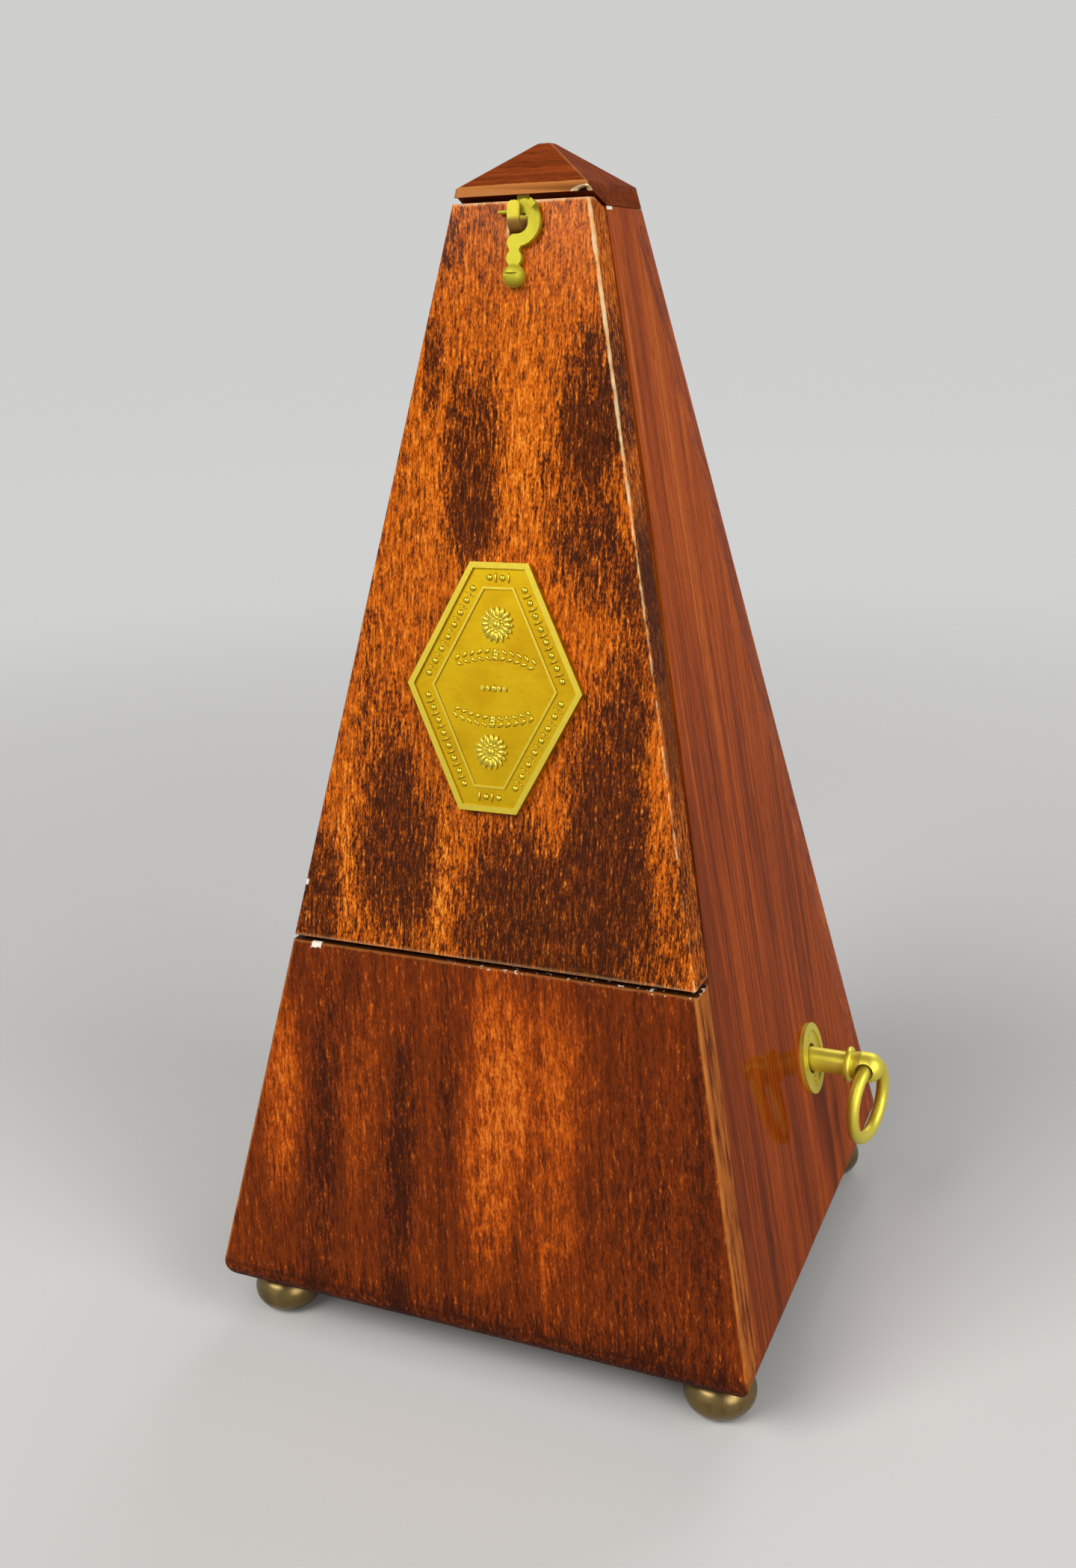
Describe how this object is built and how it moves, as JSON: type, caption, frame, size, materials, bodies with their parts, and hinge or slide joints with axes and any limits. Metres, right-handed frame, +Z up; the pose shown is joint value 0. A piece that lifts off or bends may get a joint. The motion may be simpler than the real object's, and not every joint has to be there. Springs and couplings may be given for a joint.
{
  "type": "metronome",
  "caption": "Wind-up pyramid metronome: polished wooden case with lift-off front cover, hooked lid, side key with ring, inverted pendulum and clockwork inside.",
  "frame": {"origin": "on the table, under the middle of the square base", "axes": "+Z up, -Y the front with the cover, +X the side with the winding key"},
  "size_m": [0.1206, 0.1112, 0.2281],
  "materials": {
    "case_wood": "French-polished mahogany, red-brown, worn pale at the edges",
    "cover_wood": "French-polished figured mahogany, orange-brown with dark blotches",
    "inner_wood": "plain unpolished softwood",
    "bright_brass": "polished yellow brass",
    "plaque_brass": "pressed golden brass, darker in the recesses",
    "dark_brass": "antique brass, tarnished dark",
    "works_brass": "satin brass sheet",
    "works_steel": "plain steel",
    "weight_metal": "nickel-plated",
    "bob_iron": "plain cast metal",
    "scale_card": "plain cream card"
  },
  "bodies": {
    "case": {"wall_right": "case_wood", "wall_left": "case_wood", "wall_back": "case_wood", "panel_front": "case_wood", "bottom_board": "inner_wood", "batten_left": "inner_wood", "batten_right": "inner_wood", "bottom_screws": "works_steel", "foot_back_left": "dark_brass", "foot_front_left": "dark_brass", "foot_back_right": "dark_brass", "foot_front_right": "dark_brass", "face_board": "inner_wood", "scale_plate": "scale_card", "front_bush": "works_brass", "hinge_leaf_case": "bright_brass", "hinge_pin": "bright_brass", "hinge_screws_case": "bright_brass", "escutcheon": "bright_brass", "escutcheon_pins": "bright_brass", "click_screw": "works_steel", "click_spring": "works_steel", "plate_left": "works_brass", "plate_right": "works_brass", "pillars": "works_brass", "pillar_screws": "works_steel", "movement_screws": "works_steel", "arbor_cock": "works_brass", "cock_screw": "works_steel"},
    "cover": {"cover": "cover_wood", "plaque": "plaque_brass", "hook_screw": "bright_brass"},
    "hook": {"hook": "bright_brass"},
    "lid": {"lid": "case_wood", "catch_strip": "bright_brass", "hinge_leaf_lid": "bright_brass", "hinge_screw_lid": "bright_brass"},
    "key": {"key": "bright_brass", "key_arbor": "works_steel", "ratchet_wheel": "works_steel"},
    "ring": {"key_ring": "bright_brass"},
    "pendulum": {"pendulum_rod": "works_steel", "pendulum_arbor": "works_steel", "lower_arm": "works_brass", "bob": "bob_iron", "pallets": "works_steel"},
    "weight": {"weight": "weight_metal"},
    "barrel": {"barrel": "works_brass", "barrel_cap": "works_brass", "mainspring": "works_steel"},
    "second": {"second_arbor": "works_steel", "second_wheel": "works_brass"},
    "escape": {"escape_arbor": "works_steel", "escape_wheel": "works_brass"},
    "click": {"click": "works_steel"}
  },
  "joints": [
    {"name": "cover_slide", "type": "slide", "parent": "case", "child": "cover", "axis": [0, -1, 0], "range_m": [0, 0.06]},
    {"name": "hook_swing", "type": "hinge", "parent": "cover", "child": "hook", "pos_m": [0, -0.01687, 0.20512], "axis": [0, 0.9791, -0.2033], "range_deg": [0, 100]},
    {"name": "lid_hinge", "type": "hinge", "parent": "case", "child": "lid", "pos_m": [0, 0.01511, 0.2166], "axis": [-1, 0, 0], "range_deg": [0, 105]},
    {"name": "key_turn", "type": "hinge", "parent": "case", "child": "key", "pos_m": [0.04933, 0.01405, 0.04455], "axis": [1, 0, 0], "continuous": true},
    {"name": "ring_swing", "type": "hinge", "parent": "key", "child": "ring", "pos_m": [0.06193, 0.01405, 0.04455], "axis": [-0.1908, -0.9816, 0], "range_deg": [-20, 90]},
    {"name": "pendulum_swing", "type": "hinge", "parent": "case", "child": "pendulum", "pos_m": [0, -0.03484, 0.08975], "axis": [0, -0.9791, 0.2033], "range_deg": [-7, 7]},
    {"name": "weight_slide", "type": "slide", "parent": "pendulum", "child": "weight", "axis": [0, 0.2033, 0.9791], "range_m": [-0.045, 0.025]},
    {"name": "barrel_turn", "type": "hinge", "parent": "case", "child": "barrel", "pos_m": [0.02, 0.01405, 0.04455], "axis": [1, 0, 0], "continuous": true},
    {"name": "second_turn", "type": "hinge", "parent": "case", "child": "second", "pos_m": [0.01, -0.00712, 0.0538], "axis": [1, 0, 0], "continuous": true},
    {"name": "escape_turn", "type": "hinge", "parent": "case", "child": "escape", "pos_m": [0.01, -0.01052, 0.06917], "axis": [1, 0, 0], "continuous": true},
    {"name": "click_swing", "type": "hinge", "parent": "case", "child": "click", "pos_m": [0.035, 0.00323, 0.0508], "axis": [1, 0, 0], "range_deg": [-7, 8]}
  ],
  "couplings": [
    {"joint": "second_turn", "follows": "barrel_turn", "ratio": -6},
    {"joint": "escape_turn", "follows": "barrel_turn", "ratio": 36}
  ]
}
